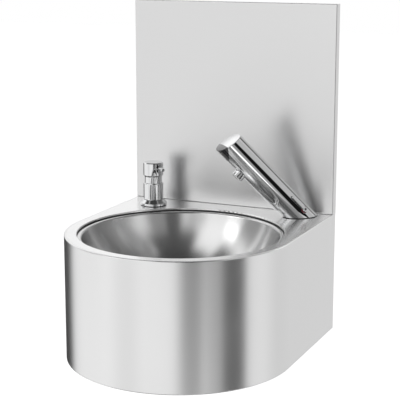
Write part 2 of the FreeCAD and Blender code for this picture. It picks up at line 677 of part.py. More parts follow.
def make_tap_body():
    barrel = cylinder(BARREL_RADIUS, -BARREL_LENGTH / 4, BARREL_LENGTH)
    swelling = belly(BELLY_START, BARREL_LENGTH)
    tongue = belly(BELLY_START - BELLY_END_RADIUS, BELLY_START)
    stamp = Part.makeCylinder(BELLY_END_RADIUS, BELLY_BOTTOM * 2, Vector(0, 0, BELLY_START), X_AXIS)
    body = fuse(barrel, swelling, tongue.common(stamp))
    body = body.cut(cylinder(BORE_RADIUS, BORE_START, BARREL_LENGTH + CUT, BORE_AXIS))
    body = body.cut(window_wedge(WINDOW_GAP))

    socket_floor = BELLY_BOTTOM - AERATOR_THREAD_DEPTH - AERATOR_SEAL
    body = body.cut(Part.makeCylinder(AERATOR_THREAD + FIT, BELLY_BOTTOM, Vector(socket_floor, 0, AERATOR_S),
                                      X_AXIS))
    outlet_start = BORE_START + VALVE_BASE + VALVE_COIL - 2 * PASSAGE_RADIUS
    passage = cylinder(PASSAGE_RADIUS, outlet_start, AERATOR_S, (PASSAGE_OFFSET, 0.0))
    crossing = Part.makeCylinder(PASSAGE_RADIUS, PASSAGE_OFFSET, Vector(0, 0, outlet_start + PASSAGE_RADIUS),
                                 X_AXIS)
    feed = cylinder(PASSAGE_RADIUS, LEVER_S, BORE_START + CUT, BORE_AXIS)
    body = body.cut(passage).cut(crossing).cut(feed)
    grub = Part.makeCylinder(GRUB_RADIUS + FIT, BARREL_RADIUS * 2, Vector(0, 0, GRUB_S), GRUB_DIRECTION)
    body = on_tap(body.cut(grub))

    spindle = cylinder(CARTRIDGE_RADIUS + FIT, CARTRIDGE_INNER - GAP, BARREL_RADIUS * 2)
    spot_face = cylinder(MARK_RADIUS + GAP, BARREL_RADIUS - 2 * MARK_THICK, BARREL_RADIUS * 2)
    body = body.cut(placed(fuse(spindle, spot_face), lever_place()))
    body = above_deck(body, TAP_SEAL)
    body = body.cut(cylinder(SHANK_RADIUS + FIT, -CUT, TAP_SEAL + SHANK_SOCKET, TAP_AXIS))
    for side in (-1, 1):
        inlet = tail_axis(side)
        body = body.cut(cylinder(TAIL_NECK_RADIUS - TAIL_WALL, 0, TAP_SEAL + SHANK_SOCKET + PASSAGE_RADIUS,
                                 inlet))
    return body


def make_tap_seal():
    print_of_foot = cylinder(BARREL_RADIUS - TAP_SEAL_INSET, -BARREL_LENGTH / 4, BARREL_LENGTH)
    slab = cylinder(BARREL_LENGTH, 0, TAP_SEAL, TAP_AXIS)
    return on_tap(print_of_foot).common(slab).cut(cylinder(SHANK_RADIUS + GAP, -CUT, CUT, TAP_AXIS))


def tail_axis(side):
    return (TAP_X + side * TAIL_OFFSET * ACROSS.x, TAP_Y + side * TAIL_OFFSET * ACROSS.y)


def make_tap_head():
    cap = nose().cut(cylinder(BARREL_RADIUS * 2, 0, BARREL_LENGTH)).cut(window_wedge(WINDOW_GAP))
    spigot = tube(INSERT_RADIUS, SPIGOT_INNER, SPIGOT_START, BARREL_LENGTH, BORE_AXIS)
    spigot = spigot.cut(window_wedge(WINDOW_GAP))
    cap = fuse(cap, spigot)
    grub_hole = Part.makeCylinder(GRUB_RADIUS + FIT, BARREL_RADIUS * 2, Vector(0, 0, GRUB_S), GRUB_DIRECTION)
    keep("tap_cap", on_tap(cap.cut(grub_hole)))

    window = nose().common(window_wedge())
    window = window.cut(cylinder(INSERT_RADIUS, 0, BARREL_LENGTH, BORE_AXIS))
    keep("sensor_window", on_tap(window.Solids[0]))

    skin = BARREL_RADIUS + BELLY_DROP * math.sin(GRUB_TURN) - 3 * GRUB_RADIUS
    screw = Part.makeCylinder(GRUB_RADIUS, GRUB_LENGTH, GRUB_DIRECTION * (skin - GRUB_LENGTH)
                              + Vector(0, 0, GRUB_S), GRUB_DIRECTION)
    keep("tap_grub_screw", on_tap(screw))

    module = cylinder(INSERT_RADIUS, SPIGOT_START - SENSOR_LENGTH, SPIGOT_START - GAP, BORE_AXIS)
    module = fuse(module, cylinder(SPIGOT_INNER - GAP, SPIGOT_START - GAP, SPIGOT_START + SENSOR_NOSE,
                                   BORE_AXIS))
    keep("sensor_module", on_tap(module.cut(window_wedge(WINDOW_GAP + GAP))))


def make_aerator():
    """Built upright with Z towards the water's exit, then turned to the underside of the barrel."""
    floor = BELLY_BOTTOM - AERATOR_THREAD_DEPTH
    face = BELLY_BOTTOM + GAP
    rim = face + AERATOR_LENGTH
    shell = fuse(cylinder(AERATOR_THREAD, floor, face), cylinder(AERATOR_RADIUS, face, rim))
    shell = round_edges(shell, KNURL_RADIUS, lambda edge: is_circle(edge, AERATOR_RADIUS)
                        and flat_at(edge, rim))
    for step in range(KNURLS):
        angle = 2 * math.pi * step / KNURLS
        centre = (AERATOR_RADIUS * math.cos(angle), AERATOR_RADIUS * math.sin(angle))
        shell = shell.cut(cylinder(KNURL_RADIUS / 2, face + AERATOR_LENGTH * 0.45, rim + CUT, centre))
    shell = shell.cut(cylinder(AERATOR_BORE, floor - CUT, rim + CUT))
    insert = cylinder(AERATOR_BORE - FIT, floor, rim - KNURL_RADIUS)
    for row in (-1, 0, 1):
        for column in (-1, 0, 1):
            hole = (row * AERATOR_BORE * 0.5, column * AERATOR_BORE * 0.5)
            insert = insert.cut(cylinder(KNURL_RADIUS, floor - CUT, rim + CUT, hole))
    seal = tube(AERATOR_THREAD - GAP, AERATOR_THREAD - AERATOR_SEAL_WIDTH, floor - AERATOR_SEAL, floor)
    down = FreeCAD.Placement(Vector(0, 0, AERATOR_S), FreeCAD.Rotation(Y_AXIS, 90))
    place = TAP_PLACE.multiply(down)
    keep("aerator_housing", placed(shell, place))
    keep("aerator_insert", placed(insert, place))
    keep("aerator_seal", placed(seal, place))


def make_lever():
    """Temperature lever on its spindle, built in the lever's own frame."""
    place = lever_place()
    arm_low = BARREL_RADIUS + LEVER_LIFT
    arm_top = arm_low + LEVER_THICK
    half = LEVER_WIDTH / 2
    tip = LEVER_TIP_WIDTH / 2
    outline = Part.Wire([
        Part.LineSegment(Vector(0, -half, arm_low), Vector(LEVER_LENGTH - tip, -tip, arm_low)).toShape(),
        Part.Arc(Vector(LEVER_LENGTH - tip, -tip, arm_low), Vector(LEVER_LENGTH, 0, arm_low),
                 Vector(LEVER_LENGTH - tip, tip, arm_low)).toShape(),
        Part.LineSegment(Vector(LEVER_LENGTH - tip, tip, arm_low), Vector(0, half, arm_low)).toShape(),
        Part.LineSegment(Vector(0, half, arm_low), Vector(0, -half, arm_low)).toShape(),
    ])
    arm = Part.Face(outline).extrude(Vector(0, 0, LEVER_THICK))
    hub_low = BARREL_RADIUS - MARK_THICK + GAP
    hub = cylinder(LEVER_HUB, hub_low, arm_top)
    lever = fuse(arm, hub)
    lever = round_edges(lever, LEVER_EDGE, lambda edge: flat_at(edge, arm_top))
    socket_top = hub_low + LEVER_SOCKET
    lever = lever.cut(cylinder(LEVER_SCREW + FIT, hub_low - CUT, socket_top))
    lever = lever.cut(cylinder(LEVER_SCREW, arm_top - LEVER_THICK / 3, arm_top + CUT))
    keep("temperature_lever", placed(lever, place))
    badge = cylinder(LEVER_SCREW - FIT, arm_top - LEVER_THICK / 3, arm_top + LEVER_THICK / 6)
    keep("lever_badge", placed(badge, place))

    cartridge = cylinder(CARTRIDGE_RADIUS, CARTRIDGE_INNER, CARTRIDGE_OUTER)
    cartridge = cartridge.cut(cylinder(LEVER_SCREW + FIT, CARTRIDGE_OUTER - LEVER_SOCKET * 2,
                                       CARTRIDGE_OUTER + CUT))
    cartridge = placed(cartridge, place)
    keep("mixing_cartridge", above_deck(cartridge, TAP_SEAL + SHANK_SOCKET + GAP))
    spindle = cylinder(LEVER_SCREW, CARTRIDGE_OUTER - LEVER_SOCKET * 2 + GAP, socket_top)
    keep("cartridge_spindle", placed(spindle, place))
    mark = tube(MARK_RADIUS, LEVER_SCREW + GAP, BARREL_RADIUS - 2 * MARK_THICK, BARREL_RADIUS - MARK_THICK)
    keep("temperature_mark", placed(mark, place))


def make_tap_inside():
    base_top = BORE_START + GAP + VALVE_BASE
    coil_top = base_top + VALVE_COIL
    floor = BORE_START + GAP + PLUNGER_FOOT
    valve = fuse(cylinder(INSERT_RADIUS, BORE_START + GAP, base_top, BORE_AXIS),
                 cylinder(VALVE_COIL_RADIUS, base_top, coil_top, BORE_AXIS))
    spring_top = floor + GAP + PLUNGER_LENGTH + VALVE_SPRING_LENGTH
    valve = valve.cut(cylinder(PLUNGER_RADIUS + GAP, floor, spring_top, BORE_AXIS))
    keep("solenoid_valve", on_tap(valve))
    plunger_foot = floor + GAP
    keep("solenoid_plunger", on_tap(cylinder(PLUNGER_RADIUS, plunger_foot, plunger_foot + PLUNGER_LENGTH,
                                             BORE_AXIS)))
    coil = spring(PLUNGER_RADIUS - 2 * PUMP_SPRING_WIRE, PUMP_SPRING_WIRE, plunger_foot + PLUNGER_LENGTH,
                  spring_top, PUMP_SPRING_TURNS, BORE_AXIS)
    keep("solenoid_spring", on_tap(coil))

    holder_start = coil_top + GAP
    cell_start = holder_start + HOLDER_WALL
    holder_end = cell_start + BATTERY_LENGTH + HOLDER_WALL
    holder = cylinder(INSERT_RADIUS, holder_start, holder_end, BORE_AXIS)
    holder = holder.cut(cylinder(BATTERY_RADIUS + GAP, cell_start, holder_end + CUT, BORE_AXIS))
    keep("battery_holder", on_tap(holder))
    keep("battery", on_tap(cylinder(BATTERY_RADIUS, cell_start, cell_start + BATTERY_LENGTH, BORE_AXIS)))


def make_tap_fixing():
    stiffener_bottom = -SHEET - STIFFENER
    half = STIFFENER_WIDTH / 2
    stiffener = box(TAP_X - half, min(TAP_X + half, SKIRT_INNER - 2 * SHEET), -PLATE + TAP_Y - half,
                    -PLATE - SHEET, stiffener_bottom, -SHEET)
    stiffener = stiffener.cut(cylinder(RIM_RADIUS + BOWL_FLANGE + SHEET, -CUT * 2, CUT, BOWL_AXIS))
    keep("tap_stiffener", stiffener.cut(cylinder(TAP_HOLE, -CUT * 2, CUT, TAP_AXIS)))

    shank_bottom = -SHANK_LENGTH
    keep("tap_shank", tube(SHANK_RADIUS, SHANK_RADIUS - SHANK_WALL, shank_bottom, TAP_SEAL + SHANK_SOCKET,
                           TAP_AXIS))
    clamp_bottom = stiffener_bottom - CLAMP_THICK
    clamp = tube(CLAMP_RADIUS, SHANK_RADIUS + FIT, clamp_bottom, stiffener_bottom, TAP_AXIS)
    slot = box(TAP_X - CLAMP_RADIUS * 2, TAP_X, TAP_Y - SHANK_RADIUS - FIT, TAP_Y + SHANK_RADIUS + FIT,
               clamp_bottom - CUT, stiffener_bottom)
    keep("tap_clamp", clamp.cut(slot))
    keep("tap_nut", nut(TAP_NUT_FLATS, SHANK_RADIUS + FIT, clamp_bottom - TAP_NUT_HEIGHT, clamp_bottom,
                        TAP_AXIS))
    bore = TAIL_NECK_RADIUS - TAIL_WALL
    for name, side in (("hot_tail", -1), ("cold_tail", 1)):
        inlet = tail_axis(side)
        neck = tube(TAIL_NECK_RADIUS, bore, -TAIL_LENGTH, TAP_SEAL + SHANK_SOCKET, inlet)
        end = tube(TAIL_RADIUS, bore, -TAIL_LENGTH, -TAIL_LENGTH + TAIL_END, inlet)
        keep(name, fuse(neck, end))


# ================================================================ soap dispenser
SLEEVE_BOTTOM = SOAP_SEAL + FLANGE_HEIGHT
SLEEVE_TOP = SLEEVE_BOTTOM + SLEEVE_HEIGHT
HEAD_BOTTOM = SLEEVE_TOP + NECK_SHOWN
HEAD_TOP = HEAD_BOTTOM + HEAD_HEIGHT


def make_dispenser_fixed():
    lip_top = SOAP_SEAL + FLANGE_LIP
    flange = lathe((SOAP_SHANK_RADIUS + FIT, SOAP_SEAL), [
        (FLANGE_RADIUS - FLANGE_EDGE / 2, SOAP_SEAL),
        (FLANGE_RADIUS, SOAP_SEAL + FLANGE_EDGE / 2),
        (FLANGE_RADIUS, lip_top - FLANGE_EDGE),
        ((FLANGE_RADIUS - FLANGE_EDGE * ARC_DIP, lip_top - FLANGE_EDGE * ARC_DIP),
         (FLANGE_RADIUS - FLANGE_EDGE, lip_top)),
        (SLEEVE_RADIUS + GAP, SLEEVE_BOTTOM),
        (SOAP_SHANK_RADIUS + FIT, SLEEVE_BOTTOM),
    ], SOAP_AXIS)
    keep("dispenser_flange", flange)
    keep("dispenser_seal", tube(FLANGE_RADIUS - FLANGE_EDGE, SOAP_SHANK_RADIUS + GAP, 0, SOAP_SEAL,
                                SOAP_AXIS))

    sleeve = tube(SLEEVE_RADIUS, SLEEVE_RADIUS - SLEEVE_WALL, SLEEVE_BOTTOM, SLEEVE_TOP, SOAP_AXIS)
    keep("dispenser_sleeve", round_edges(sleeve, SLEEVE_EDGE, lambda edge: is_circle(edge, SLEEVE_RADIUS)))

    # threaded shank with the pump's tube held in it
    shank_top = SLEEVE_BOTTOM + SOAP_SHANK_PROUD
    collar_top = shank_top + PUMP_COLLAR
    shank = tube(SOAP_SHANK_RADIUS, PUMP_TUBE_RADIUS + FIT, SOAP_SHANK_BOTTOM, shank_top, SOAP_AXIS)
    keep("dispenser_shank", shank)
    washer_top = -SHEET
    washer_bottom = washer_top - SOAP_WASHER
    keep("dispenser_washer", tube(SOAP_WASHER_RADIUS, SOAP_SHANK_RADIUS + GAP, washer_bottom, washer_top,
                                  SOAP_AXIS))
    keep("dispenser_nut", nut(SOAP_NUT_FLATS, SOAP_SHANK_RADIUS + FIT, washer_bottom - SOAP_NUT_HEIGHT,
                              washer_bottom, SOAP_AXIS))

    cage_floor = PUMP_TUBE_BOTTOM + PUMP_TUBE_WALL
    barrel = fuse(
        tube(PUMP_TUBE_RADIUS, PUMP_TUBE_RADIUS - PUMP_TUBE_WALL, PUMP_TUBE_BOTTOM, shank_top, SOAP_AXIS),
        tube(PUMP_TUBE_RADIUS, BALL_RADIUS + GAP, PUMP_TUBE_BOTTOM, cage_floor + BALL_CAGE, SOAP_AXIS),
        tube(SOAP_SHANK_RADIUS, PUMP_TUBE_RADIUS - PUMP_TUBE_WALL, shank_top, collar_top, SOAP_AXIS),
        tube(PUMP_TUBE_RADIUS, STEM_RADIUS + GAP, collar_top - PUMP_TUBE_WALL, collar_top, SOAP_AXIS),
        tube(DIP_RADIUS + PUMP_TUBE_WALL, DIP_RADIUS + FIT, PUMP_TUBE_BOTTOM - DIP_SOCKET, PUMP_TUBE_BOTTOM,
             SOAP_AXIS),
        tube(PUMP_TUBE_RADIUS, DIP_RADIUS - DIP_WALL, PUMP_TUBE_BOTTOM, cage_floor, SOAP_AXIS))
    keep("pump_tube", barrel)
    keep("dip_tube", tube(DIP_RADIUS, DIP_RADIUS - DIP_WALL, DIP_BOTTOM, PUMP_TUBE_BOTTOM, SOAP_AXIS))
    ball_z = cage_floor + math.sqrt(BALL_RADIUS ** 2 - (DIP_RADIUS - DIP_WALL) ** 2)
    ball = Part.makeSphere(BALL_RADIUS, Vector(SOAP_X, SOAP_Y, ball_z + FIT))
    keep("pump_ball", ball)
    return collar_top


def make_dispenser_moving(collar_top):
    piston_bottom = PISTON_TOP - PISTON_HEIGHT
    stem = tube(STEM_RADIUS, STEM_BORE, PISTON_TOP, STEM_TOP, SOAP_AXIS)
    keep("pump_stem", stem)
    piston = tube(PUMP_TUBE_RADIUS - PUMP_TUBE_WALL - FIT, STEM_BORE, piston_bottom, PISTON_TOP, SOAP_AXIS)
    keep("pump_piston", piston)
    cage_top = PUMP_TUBE_BOTTOM + PUMP_TUBE_WALL + BALL_CAGE
    keep("pump_spring", spring(PUMP_SPRING_RADIUS, PUMP_SPRING_WIRE, cage_top, piston_bottom,
                               PUMP_SPRING_TURNS, SOAP_AXIS))

    neck_bottom = SLEEVE_TOP - NECK_HIDDEN
    neck = tube(NECK_RADIUS, NECK_RADIUS - NECK_WALL, neck_bottom, HEAD_BOTTOM, SOAP_AXIS)
    keep("pump_neck", neck)

    head = lathe((0, HEAD_BOTTOM), [
        (NECK_RADIUS + GAP, HEAD_BOTTOM),
        (HEAD_RADIUS, HEAD_BOTTOM + HEAD_TAPER),
        (HEAD_RADIUS, HEAD_TOP - HEAD_BEVEL),
        (HEAD_RADIUS - HEAD_BEVEL, HEAD_TOP),
        (0, HEAD_TOP),
    ], SOAP_AXIS)
    head = head.cut(cylinder(STEM_RADIUS + FIT, HEAD_BOTTOM - CUT, STEM_TOP, SOAP_AXIS))
    root, tip, direction = spout_line()
    channel = Part.makeCylinder(SPOUT_RADIUS + FIT, (tip - root).Length, root, direction)
    riser = cylinder(STEM_BORE, STEM_TOP - CUT, SPOUT_ROOT_Z - SPOUT_RADIUS, SOAP_AXIS)
    relief = Part.makeCylinder(SPOUT_RADIUS * 2, SPOUT_REACH, root + direction * (HEAD_RADIUS * 0.45),
                               direction)
    keep("pump_head", head.cut(channel).cut(riser).cut(relief))

    pipe = Part.makeCylinder(SPOUT_RADIUS, (tip - root).Length, root, direction)
    keep("pump_spout", pipe.cut(Part.makeCylinder(SPOUT_BORE, SPOUT_REACH * 2, root, direction)))
    nozzle = Part.makeCylinder(NOZZLE_RADIUS, NOZZLE_LENGTH, tip - direction * (NOZZLE_LENGTH * 0.75),
                               direction)
    nozzle = round_edges(nozzle, NOZZLE_RADIUS * 0.4, lambda edge: isinstance(edge.Curve, Part.Circle))
    keep("spout_nozzle", nozzle.cut(Part.makeCylinder(SPOUT_RADIUS + FIT, SPOUT_REACH * 2, root, direction)))
    assert collar_top < neck_bottom


def spout_line():
    yaw = math.radians(SPOUT_YAW)
    plan = Vector(math.cos(yaw), math.sin(yaw), 0)
    centre = Vector(SOAP_X, SOAP_Y, 0)
    tip = centre + plan * SPOUT_REACH + Vector(0, 0, SPOUT_TIP_Z)
    start = centre + Vector(0, 0, SPOUT_ROOT_Z - SPOUT_RADIUS - HEAD_BEVEL)
    direction = (tip - start).normalize()
    return start + direction * STEM_BORE, tip, direction


def make_bottle():
    neck_inner = SOAP_SHANK_RADIUS + FIT
    bottle = lathe((neck_inner, BOTTLE_NECK_TOP), [
        (BOTTLE_NECK, BOTTLE_NECK_TOP),
        (BOTTLE_NECK, BOTTLE_TOP + BOTTLE_ROUND / 2),
        (BOTTLE_RADIUS - BOTTLE_ROUND, BOTTLE_TOP - BOTTLE_ROUND / 2),
        ((BOTTLE_RADIUS - BOTTLE_ROUND * ARC_DIP, BOTTLE_TOP - BOTTLE_ROUND * (0.5 + ARC_DIP)),
         (BOTTLE_RADIUS, BOTTLE_TOP - BOTTLE_ROUND * 1.5)),
        (BOTTLE_RADIUS, BOTTLE_BOTTOM + BOTTLE_ROUND),
        ((BOTTLE_RADIUS - BOTTLE_ROUND * ARC_DIP, BOTTLE_BOTTOM + BOTTLE_ROUND * ARC_DIP),
         (BOTTLE_RADIUS - BOTTLE_ROUND, BOTTLE_BOTTOM)),
        (0, BOTTLE_BOTTOM),
        (0, BOTTLE_BOTTOM + BOTTLE_WALL),
        (BOTTLE_RADIUS - BOTTLE_ROUND, BOTTLE_BOTTOM + BOTTLE_WALL),
        (BOTTLE_RADIUS - BOTTLE_WALL, BOTTLE_BOTTOM + BOTTLE_ROUND),
        (BOTTLE_RADIUS - BOTTLE_WALL, BOTTLE_TOP - BOTTLE_ROUND * 1.5),
        (BOTTLE_RADIUS - BOTTLE_ROUND, BOTTLE_TOP - BOTTLE_ROUND / 2 - 2 * BOTTLE_WALL),
        (neck_inner, BOTTLE_TOP),
    ], SOAP_AXIS)
    keep("soap_bottle", bottle)


# ================================================================ assembly
keep("basin_skirt", make_skirt())
keep("basin_deck", make_deck())
keep("bowl", make_bowl())
keep("bowl_pad", make_pad())
keep("backsplash", make_backsplash())
keep("mounting_plate", make_mounting_plate())
keep("wall_rail", make_wall_rail())
keep("splash_rail", make_splash_rail())
make_waste()
keep("tap_body", make_tap_body())
keep("tap_base_seal", make_tap_seal())
make_tap_head()
make_aerator()
make_lever()
make_tap_inside()
make_tap_fixing()
pump_collar_top = make_dispenser_fixed()
make_dispenser_moving(pump_collar_top)
make_bottle()

os.makedirs("parts", exist_ok=True)
for node_name, node_shape in nodes.items():
    node_shape.exportStep(os.path.join("parts", node_name + ".step"))
    print(f"{node_name:22s} solids {len(node_shape.Solids)} volume {node_shape.Volume / 1000:10.3f} cm3")
print("pieces", len(nodes))
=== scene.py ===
import math

import bmesh
import bpy
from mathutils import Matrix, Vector


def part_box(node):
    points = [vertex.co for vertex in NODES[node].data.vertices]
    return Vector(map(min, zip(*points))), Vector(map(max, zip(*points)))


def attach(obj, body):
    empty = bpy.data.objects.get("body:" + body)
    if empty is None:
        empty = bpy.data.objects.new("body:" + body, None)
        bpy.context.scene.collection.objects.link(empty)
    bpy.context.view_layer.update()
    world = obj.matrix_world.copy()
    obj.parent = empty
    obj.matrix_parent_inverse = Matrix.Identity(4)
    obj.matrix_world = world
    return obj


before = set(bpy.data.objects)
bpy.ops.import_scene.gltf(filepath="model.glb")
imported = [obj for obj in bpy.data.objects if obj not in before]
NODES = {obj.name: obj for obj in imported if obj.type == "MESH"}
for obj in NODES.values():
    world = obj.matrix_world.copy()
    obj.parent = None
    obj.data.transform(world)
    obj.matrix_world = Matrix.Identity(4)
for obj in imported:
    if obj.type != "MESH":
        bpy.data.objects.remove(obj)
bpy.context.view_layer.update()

# ---------------------------------------------------------------- camera

CAMERA_PLACE = Vector((0.8486, -2.0329, 0.4881))
CAMERA_TURN = math.radians(24.37)     # to the left of +Y
CAMERA_TILT = math.radians(11.17)     # below the horizon
CAMERA_RISE = -0.06                   # of the sensor's width
SENSOR = 36.0                         # millimetres, as is the lens
LENS = 106.9
CLIP_START = 0.01
CLIP_END = 50.0


def make_camera():
    data = bpy.data.cameras.new("camera")
    data.sensor_width = SENSOR
    data.lens = LENS
    data.shift_y = CAMERA_RISE
    data.clip_start = CLIP_START
    data.clip_end = CLIP_END
    camera = bpy.data.objects.new("camera", data)
    camera.location = CAMERA_PLACE
    camera.rotation_euler = (math.radians(90) - CAMERA_TILT, 0, CAMERA_TURN)
    bpy.context.scene.collection.objects.link(camera)
    bpy.context.scene.camera = camera


# ---------------------------------------------------------------- node trees

NOISE_LOW = 0.3                       # most of a noise lies between these
NOISE_HIGH = 0.7


class Tree:
    """A short way to write a node tree."""

    def __init__(self, tree):
        self.tree = tree
        tree.nodes.clear()

    def add(self, kind, inputs=None, **settings):
        node = self.tree.nodes.new(kind)
        for name, value in settings.items():
            setattr(node, name, value)
        for key, value in (inputs or {}).items():
            self.put(node.inputs[key], value)
        return node

    def put(self, socket, value):
        """Link a socket to the input, or set the input to a constant."""
        if isinstance(value, bpy.types.NodeSocket):
            self.tree.links.new(value, socket)
        else:
            socket.default_value = value

    def calc(self, operation, *values, clamp=False):
        node = self.add("ShaderNodeMath", operation=operation, use_clamp=clamp)
        for socket, value in zip(node.inputs, values):
            self.put(socket, value)
        return node.outputs[0]

    def ramp(self, value, low, high, to_low, to_high):
        """Ease value from low..high to to_low..to_high."""
        inputs = {"Value": value, "From Min": low, "From Max": high, "To Min": to_low, "To Max": to_high}
        node = self.add("ShaderNodeMapRange", inputs, interpolation_type="SMOOTHSTEP")
        return node.outputs["Result"]

    def spread(self, noise, to_low, to_high):
        """Ease a noise to to_low..to_high."""
        return self.ramp(noise, NOISE_LOW, NOISE_HIGH, to_low, to_high)

    def noise(self, place, scale, detail=3.0, stretch=(1, 1, 1)):
        mapped = self.add("ShaderNodeMapping", {"Vector": place, "Scale": stretch})
        inputs = {"Vector": mapped.outputs[0], "Scale": scale, "Detail": detail}
        return self.add("ShaderNodeTexNoise", inputs).outputs["Fac"]

    def mix(self, amount, low, high):
        node = self.add("ShaderNodeMix", {"Factor": amount}, data_type="RGBA")
        self.put(node.inputs["A"], low)
        self.put(node.inputs["B"], high)
        return node.outputs["Result"]


def grey(value):
    return (value, value, value, 1.0)


# ---------------------------------------------------------------- world, lamp and floor

# Soft-edged panels round the object, which its metal mirrors.
# Each row: how much of the sky a flag takes away, or a glow adds to it;
# azimuth from +X and half width; elevation and half height; softness of the edge (degrees).
FLAGS = (
    (0.99, 348, 13, -14, 20, 3),      # tall one to the right
    (0.87, 306, 12, 22, 46, 6),       # to the front right
    (0.62, 325, 14, 25, 50, 8),       # what shows between the two
    (0.90, 310, 42, 64, 24, 10),      # above, to the front right
    (0.75, 36, 34, 52, 18, 10),       # above, behind to the right
    (0.38, 20, 24, 13, 10, 5),        # just over level, to the right
    (0.18, 68, 35, -15, 40, 12),      # low, behind to the right
    (0.12, 240, 12, -17, 30, 8),      # low, to the front left
    (0.62, 196, 16, 15, 15, 6),       # to the left
    (0.38, 274, 12, 27, 9, 6),        # small one above, in front
    (0.92, 165, 55, 72, 28, 6),       # high, to the left
    (1.00, 130, 32, -42, 40, 8),      # low, behind to the left
    (0.75, 0, 200, -90, 42, 6),       # all of what lies underneath
    (0.94, 0, 200, 90, 27, 6),        # all of what lies overhead
)
GLOWS = (
    (0.25, 130, 75, 45, 22, 14),      # above, behind to the left
    (0.32, 240, 32, 42, 22, 10),      # above, to the front left
    (0.10, 235, 60, -25, 30, 12),     # below, to the front left
    (1.20, 319, 4, -31, 5, 2),        # three small strips: sharp in chrome, blurred in satin steel
    (1.40, 54, 6, 19, 8, 3),
    (2.20, 221, 10, 31, 4, 2),
)
SKY = 0.95                            # what bare metal mirrors
SOFT_LIGHT = 0.7                      # what lights the floor and dull surfaces
HALF_TURN = 180.0

SOFTBOX_PLACE = Vector((-1.1, -1.6, 1.9))
SOFTBOX_AIM = Vector((0, -0.2, 0.1))
SOFTBOX_SIZE = 1.4
SOFTBOX_POWER = 30

FLOOR_HEIGHT = -0.85
FLOOR_SIZE = 30.0
FLOOR_GREY = 0.9
FLOOR_ROUGHNESS = 0.9
FLOOR_GLOW = 0.4                      # keeps it white round the shadow


def panel(t, azimuth, elevation, middle, half_width, height, half_height, soft):
    """1 inside a soft-edged panel of the sky and 0 outside."""
    across = t.calc("SUBTRACT", azimuth, middle)
    across = t.calc("ABSOLUTE", t.calc("WRAP", across, HALF_TURN, -HALF_TURN))
    up = t.calc("ABSOLUTE", t.calc("SUBTRACT", elevation, height))
    inside = t.ramp(across, half_width - soft, half_width + soft, 1.0, 0.0)
    level = t.ramp(up, half_height - soft, half_height + soft, 1.0, 0.0)
    return t.calc("MULTIPLY", inside, level)


def make_world():
    """White to the camera, panels to mirrored rays and an even soft light to all others."""
    world = bpy.data.worlds.new("studio")
    bpy.context.scene.world = world
    world.use_nodes = True
    t = Tree(world.node_tree)
    direction = t.add("ShaderNodeTexCoord").outputs["Generated"]
    x, y, z = t.add("ShaderNodeSeparateXYZ", {"Vector": direction}).outputs
    azimuth = t.calc("DEGREES", t.calc("ARCTAN2", y, x))
    elevation = t.calc("DEGREES", t.calc("ARCSINE", z))
    dark = 0.0
    for amount, *shape in FLAGS:
        flag = panel(t, azimuth, elevation, *shape)
        dark = t.calc("MAXIMUM", dark, t.calc("MULTIPLY", flag, amount))
    bright = SKY
    for amount, *shape in GLOWS:
        glow = panel(t, azimuth, elevation, *shape)
        bright = t.calc("MULTIPLY_ADD", glow, amount, bright)
    mirrored = t.calc("MULTIPLY", t.calc("SUBTRACT", 1.0, dark), bright)
    rays = t.add("ShaderNodeLightPath").outputs
    glossy = rays["Is Glossy Ray"]
    white = t.calc("ADD", rays["Is Camera Ray"], rays["Is Transmission Ray"], clamp=True)
    others = t.calc("SUBTRACT", 1.0, t.calc("ADD", white, glossy), clamp=True)
    strength = t.calc("ADD", white, t.calc("MULTIPLY", glossy, mirrored))
    strength = t.calc("ADD", strength, t.calc("MULTIPLY", others, SOFT_LIGHT))
    back = t.add("ShaderNodeBackground", {"Color": grey(1.0), "Strength": strength})
    t.add("ShaderNodeOutputWorld", {"Surface": back.outputs[0]})


def make_softbox():
    """Gives the floor its shadow; mirrored rays don't see it."""
    data = bpy.data.lights.new("softbox", "AREA")
    data.shape = "SQUARE"
    data.size = SOFTBOX_SIZE
    data.energy = SOFTBOX_POWER
    softbox = bpy.data.objects.new("softbox", data)
    softbox.location = SOFTBOX_PLACE
    softbox.rotation_euler = (SOFTBOX_AIM - SOFTBOX_PLACE).to_track_quat("-Z", "Y").to_euler()
    softbox.visible_glossy = False
    bpy.context.scene.collection.objects.link(softbox)


def make_floor():
    bpy.ops.mesh.primitive_plane_add(size=FLOOR_SIZE, location=(0, 0, FLOOR_HEIGHT))
    floor = bpy.context.object
    floor.name = "floor"
    material, t = new_material("floor")
    finish_material(t, {"Base Color": grey(FLOOR_GREY), "Roughness": FLOOR_ROUGHNESS,
                        "Emission Color": grey(1.0), "Emission Strength": FLOOR_GLOW})
    floor.data.materials.append(material)
    floor.visible_glossy = False


# ---------------------------------------------------------------- materials

FINE = 2600.0                         # brush lines per metre, across and along the grain
LONG = 14.0
BRUSH_DETAIL = 4.0
BRUSH_TINT = 0.015                    # part of the colour that varies from line to line
BRUSH_ROUGHNESS = 0.015               # roughness that varies from line to line
BRUSH_RELIEF = 0.006
BRUSH_DEPTH = 0.0005
CROSS_GRAIN = 0.25                    # of a turn, from the tangent to the grain

SHEET_CLOUDS = 9.0                    # slow change of roughness over a sheet
SHEET_ROUGHNESS = 0.01

METAL_SPECKS = 120.0
METAL_TINT = 0.97
METAL_ROUGHNESS = (0.8, 1.2)

GRAIN_SPECKS = 300.0
GRAIN_DETAIL = 4.0
GRAIN_TINT = 0.9
GRAIN_ROUGHNESS = (0.85, 1.15)
GRAIN_RELIEF = 0.05

SPECK_DEPTH = 0.0003


def new_material(name):
    material = bpy.data.materials.new(name)
    material.use_nodes = True
    return material, Tree(material.node_tree)


def finish_material(t, inputs):
    shader = t.add("ShaderNodeBsdfPrincipled", inputs)
    t.add("ShaderNodeOutputMaterial", {"Surface": shader.outputs[0]})


def darker(colour, part):
    return [channel * part for channel in colour[:3]] + [1.0]


